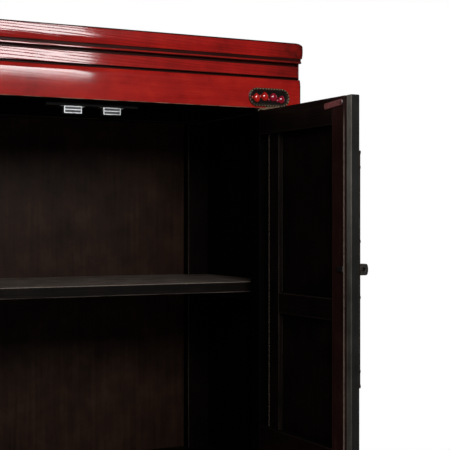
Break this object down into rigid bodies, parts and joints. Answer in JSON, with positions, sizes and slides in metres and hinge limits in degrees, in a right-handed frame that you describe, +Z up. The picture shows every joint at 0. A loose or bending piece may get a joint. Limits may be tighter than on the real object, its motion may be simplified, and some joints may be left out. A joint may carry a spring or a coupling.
{
  "type": "wedding cabinet",
  "caption": "Red lacquered wooden wedding cabinet: framed doors on dowel pivots with a round lock plate, carved pivot blocks on the lintel, an inner shelf and magnet catches.",
  "frame": {"origin": "the floor point under the middle of the whole object with both doors open at right angles", "axes": "+X to the right as seen from the front, +Y from the front to the back, +Z up"},
  "size_m": [1.116, 0.9864, 1.3],
  "materials": {
    "red_lacquer": "old red lacquer, crackled and worn to dark wood along the edges",
    "carved_lacquer": "painted carving: scarlet berries on a dark ground inside a worn rim",
    "inner_wood": "dark stained wood, dull",
    "aged_brass": "aged brass, brown in the hollows",
    "dark_iron": "dark wrought iron, rubbed",
    "catch_metal": "bright satin",
    "magnet_black": "black ferrite",
    "strike_steel": "dull zinc-plated steel"
  },
  "bodies": {
    "carcass": {"apron": "red_lacquer", "back_panel": "inner_wood", "catch_batten": "inner_wood", "catch_housing_left": "catch_metal", "catch_housing_right": "catch_metal", "catch_magnets": "magnet_black", "catch_screws": "strike_steel", "cornice_front": "red_lacquer", "cornice_left": "red_lacquer", "cornice_rear": "red_lacquer", "cornice_right": "red_lacquer", "floor_board": "inner_wood", "frieze": "red_lacquer", "front_floor_rail": "inner_wood", "front_post_left": "red_lacquer", "front_post_right": "red_lacquer", "lintel": "red_lacquer", "pivot_block_left": "carved_lacquer", "pivot_block_right": "carved_lacquer", "rear_bottom_rail": "inner_wood", "rear_post_left": "red_lacquer", "rear_post_right": "red_lacquer", "rear_top_rail": "red_lacquer", "shelf": "inner_wood", "side_bottom_rail_left": "red_lacquer", "side_bottom_rail_right": "red_lacquer", "side_middle_rail_left": "red_lacquer", "side_middle_rail_right": "red_lacquer", "side_panels_left": "red_lacquer", "side_panels_right": "red_lacquer", "side_top_rail_left": "red_lacquer", "side_top_rail_right": "red_lacquer", "sill": "red_lacquer", "top_panel": "inner_wood"},
    "door_left": {"cross_batten_left": "inner_wood", "door_bottom_rail_left": "red_lacquer", "door_panel_left": "red_lacquer", "door_top_rail_left": "red_lacquer", "free_stile_left": "red_lacquer", "hinge_stile_left": "red_lacquer", "lock_nails_left": "aged_brass", "lock_plate_left": "aged_brass", "lock_staple_left": "dark_iron", "strike_plate_left": "strike_steel", "strike_screws_left": "strike_steel", "upright_batten_left": "inner_wood"},
    "door_right": {"cross_batten_right": "inner_wood", "door_bottom_rail_right": "red_lacquer", "door_panel_right": "red_lacquer", "door_top_rail_right": "red_lacquer", "free_stile_right": "red_lacquer", "hinge_stile_right": "red_lacquer", "lock_nails_right": "aged_brass", "lock_plate_right": "aged_brass", "lock_staple_right": "dark_iron", "strike_plate_right": "strike_steel", "strike_screws_right": "strike_steel", "upright_batten_right": "inner_wood", "lap_strip": "red_lacquer"}
  },
  "joints": [
    {"name": "door_left_swing", "type": "hinge", "parent": "carcass", "child": "door_left", "pos_m": [-0.439, -0.0338, 0.7], "axis": [0, 0, -1], "range_deg": [-90, 15]},
    {"name": "door_right_swing", "type": "hinge", "parent": "carcass", "child": "door_right", "pos_m": [0.439, -0.0338, 0.7], "axis": [0, 0, 1], "range_deg": [-90, 15]}
  ]
}
